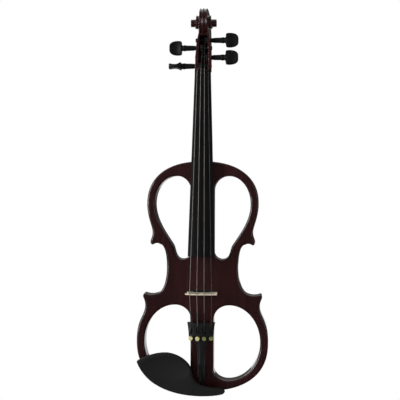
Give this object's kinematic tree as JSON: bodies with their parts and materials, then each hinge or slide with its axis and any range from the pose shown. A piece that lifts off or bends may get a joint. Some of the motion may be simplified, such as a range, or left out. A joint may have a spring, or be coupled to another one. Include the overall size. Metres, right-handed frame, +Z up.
{
  "type": "electric violin",
  "caption": "Electric violin with an open frame body, carved scroll head, arched fingerboard, fine-tuning tailpiece, chinrest and a back panel with controls.",
  "frame": {"origin": "the hanger point, on the centreline under the scroll's ears, where the two prongs of a wall hanger carry the head", "axes": "+Z up along the strings to the scroll, +X to the treble side, +Y from the front to the back"},
  "size_m": [0.2044, 0.0743, 0.6042],
  "materials": {
    "lacquer": "dark red-brown lacquer, polished to a deep gloss",
    "ebony": "dyed black wood, satin",
    "peg_wood": "black wood, satin",
    "maple": "bare pale maple",
    "black_plastic": "moulded black, satin",
    "chinrest": "moulded black, soft sheen",
    "piezo": "black bar and screened lead",
    "tailgut": "black nylon",
    "brass": "pale gold plate, polished",
    "dark_metal": "blackened, satin",
    "steel": "nickel plate, satin",
    "string_wire": "wound steel",
    "cork": "cork sheet",
    "board": "green circuit board",
    "battery": "plain printed can, unmarked"
  },
  "bodies": {
    "instrument": {"spine_block": "lacquer", "bass_wing": "lacquer", "treble_wing": "lacquer", "neck_and_head": "lacquer", "fingerboard": "ebony", "nut": "ebony", "saddle": "ebony", "end_button": "peg_wood", "bridge": "maple", "tailpiece": "black_plastic", "control_plate": "black_plastic", "chinrest": "chinrest", "bridge_pickup": "piezo", "pickup_lead": "piezo", "tail_gut": "tailgut", "tuner_pivot_rod": "steel", "clamp_post_bass": "steel", "clamp_post_treble": "steel", "plate_screw_1": "steel", "plate_screw_2": "steel", "plate_screw_3": "steel", "plate_screw_4": "steel", "headphone_jack": "steel", "output_jack": "steel", "string_g": "string_wire", "string_d": "string_wire", "string_a": "string_wire", "string_e": "string_wire", "chinrest_cork_bass": "cork", "chinrest_cork_treble": "cork", "circuit_board": "board", "battery": "battery"},
    "peg_g": {"peg_g": "peg_wood", "winding_g": "string_wire"},
    "peg_d": {"peg_d": "peg_wood", "winding_d": "string_wire"},
    "peg_a": {"peg_a": "peg_wood", "winding_a": "string_wire"},
    "peg_e": {"peg_e": "peg_wood", "winding_e": "string_wire"},
    "tuner_pad_g": {"tuner_pad_g": "dark_metal"},
    "tuner_screw_g": {"tuner_screw_g": "brass"},
    "tuner_lever_g": {"tuner_lever_g": "dark_metal"},
    "tuner_pad_d": {"tuner_pad_d": "dark_metal"},
    "tuner_screw_d": {"tuner_screw_d": "brass"},
    "tuner_lever_d": {"tuner_lever_d": "dark_metal"},
    "tuner_pad_a": {"tuner_pad_a": "dark_metal"},
    "tuner_screw_a": {"tuner_screw_a": "brass"},
    "tuner_lever_a": {"tuner_lever_a": "dark_metal"},
    "tuner_pad_e": {"tuner_pad_e": "dark_metal"},
    "tuner_screw_e": {"tuner_screw_e": "brass"},
    "tuner_lever_e": {"tuner_lever_e": "dark_metal"},
    "clamp_barrel_bass": {"clamp_barrel_bass": "steel"},
    "clamp_barrel_treble": {"clamp_barrel_treble": "steel"},
    "clamp_foot": {"clamp_foot": "steel", "clamp_cork": "cork"},
    "volume_knob": {"volume_knob": "black_plastic"},
    "tone_knob": {"tone_knob": "black_plastic"},
    "power_switch": {"power_switch": "black_plastic"},
    "battery_door": {"battery_door": "black_plastic"}
  },
  "joints": [
    {"name": "peg_g_turn", "type": "hinge", "parent": "instrument", "child": "peg_g", "pos_m": [0, -0.0055, -0.0588], "axis": [-1, 0, 0], "continuous": true},
    {"name": "peg_d_turn", "type": "hinge", "parent": "instrument", "child": "peg_d", "pos_m": [0, 0.002, -0.0295], "axis": [-1, 0, 0], "continuous": true},
    {"name": "peg_a_turn", "type": "hinge", "parent": "instrument", "child": "peg_a", "pos_m": [0, 0.0055, -0.017], "axis": [1, 0, 0], "continuous": true},
    {"name": "peg_e_turn", "type": "hinge", "parent": "instrument", "child": "peg_e", "pos_m": [0, -0.002, -0.045], "axis": [1, 0, 0], "continuous": true},
    {"name": "tuner_g_travel", "type": "slide", "parent": "instrument", "child": "tuner_pad_g", "axis": [0, 0.9956, 0.0941], "range_m": [-0.002, 0]},
    {"name": "tuner_g_turn", "type": "hinge", "parent": "tuner_pad_g", "child": "tuner_screw_g", "pos_m": [-0.0156, -0.02571, -0.47543], "axis": [0, 0.9956, 0.0941], "range_deg": [-1441, 0]},
    {"name": "tuner_g_tilt", "type": "hinge", "parent": "instrument", "child": "tuner_lever_g", "pos_m": [-0.0156, -0.02381, -0.4636], "axis": [1, 0, 0], "range_deg": [-10, 0]},
    {"name": "tuner_d_travel", "type": "slide", "parent": "instrument", "child": "tuner_pad_d", "axis": [0, 0.9956, 0.0941], "range_m": [-0.002, 0]},
    {"name": "tuner_d_turn", "type": "hinge", "parent": "tuner_pad_d", "child": "tuner_screw_d", "pos_m": [-0.0052, -0.02571, -0.47543], "axis": [0, 0.9956, 0.0941], "range_deg": [-1441, 0]},
    {"name": "tuner_d_tilt", "type": "hinge", "parent": "instrument", "child": "tuner_lever_d", "pos_m": [-0.0052, -0.02381, -0.4636], "axis": [1, 0, 0], "range_deg": [-10, 0]},
    {"name": "tuner_a_travel", "type": "slide", "parent": "instrument", "child": "tuner_pad_a", "axis": [0, 0.9956, 0.0941], "range_m": [-0.002, 0]},
    {"name": "tuner_a_turn", "type": "hinge", "parent": "tuner_pad_a", "child": "tuner_screw_a", "pos_m": [0.0052, -0.02571, -0.47543], "axis": [0, 0.9956, 0.0941], "range_deg": [-1441, 0]},
    {"name": "tuner_a_tilt", "type": "hinge", "parent": "instrument", "child": "tuner_lever_a", "pos_m": [0.0052, -0.02381, -0.4636], "axis": [1, 0, 0], "range_deg": [-10, 0]},
    {"name": "tuner_e_travel", "type": "slide", "parent": "instrument", "child": "tuner_pad_e", "axis": [0, 0.9956, 0.0941], "range_m": [-0.002, 0]},
    {"name": "tuner_e_turn", "type": "hinge", "parent": "tuner_pad_e", "child": "tuner_screw_e", "pos_m": [0.0156, -0.02571, -0.47543], "axis": [0, 0.9956, 0.0941], "range_deg": [-1441, 0]},
    {"name": "tuner_e_tilt", "type": "hinge", "parent": "instrument", "child": "tuner_lever_e", "pos_m": [0.0156, -0.02381, -0.4636], "axis": [1, 0, 0], "range_deg": [-10, 0]},
    {"name": "clamp_bass_turn", "type": "hinge", "parent": "instrument", "child": "clamp_barrel_bass", "pos_m": [-0.017, 0.002, -0.5656], "axis": [0, 1, 0], "range_deg": [0, 1441]},
    {"name": "clamp_treble_turn", "type": "hinge", "parent": "instrument", "child": "clamp_barrel_treble", "pos_m": [0.017, 0.002, -0.5656], "axis": [0, 1, 0], "range_deg": [0, 1441]},
    {"name": "clamp_foot_travel", "type": "slide", "parent": "instrument", "child": "clamp_foot", "axis": [0, 1, 0], "range_m": [0, 0.004]},
    {"name": "volume_turn", "type": "hinge", "parent": "instrument", "child": "volume_knob", "pos_m": [-0.0335, 0.015, -0.3985], "axis": [0, -1, 0], "range_deg": [0, 300]},
    {"name": "tone_turn", "type": "hinge", "parent": "instrument", "child": "tone_knob", "pos_m": [-0.0135, 0.015, -0.3985], "axis": [0, -1, 0], "range_deg": [-150, 150]},
    {"name": "power_slide", "type": "slide", "parent": "instrument", "child": "power_switch", "axis": [0, 0, 1], "range_m": [0, 0.004]},
    {"name": "battery_door_hinge", "type": "hinge", "parent": "instrument", "child": "battery_door", "pos_m": [0.0352, 0.0141, -0.41735], "axis": [-1, 0, 0], "range_deg": [0, 100]}
  ],
  "couplings": [
    {"joint": "tuner_g_turn", "follows": "tuner_g_travel", "rad_per_m": 12566},
    {"joint": "tuner_g_tilt", "follows": "tuner_g_travel", "rad_per_m": 83.333},
    {"joint": "tuner_d_turn", "follows": "tuner_d_travel", "rad_per_m": 12566},
    {"joint": "tuner_d_tilt", "follows": "tuner_d_travel", "rad_per_m": 83.333},
    {"joint": "tuner_a_turn", "follows": "tuner_a_travel", "rad_per_m": 12566},
    {"joint": "tuner_a_tilt", "follows": "tuner_a_travel", "rad_per_m": 83.333},
    {"joint": "tuner_e_turn", "follows": "tuner_e_travel", "rad_per_m": 12566},
    {"joint": "tuner_e_tilt", "follows": "tuner_e_travel", "rad_per_m": 83.333},
    {"joint": "clamp_bass_turn", "follows": "clamp_foot_travel", "rad_per_m": 6283.2},
    {"joint": "clamp_treble_turn", "follows": "clamp_foot_travel", "rad_per_m": 6283.2}
  ]
}
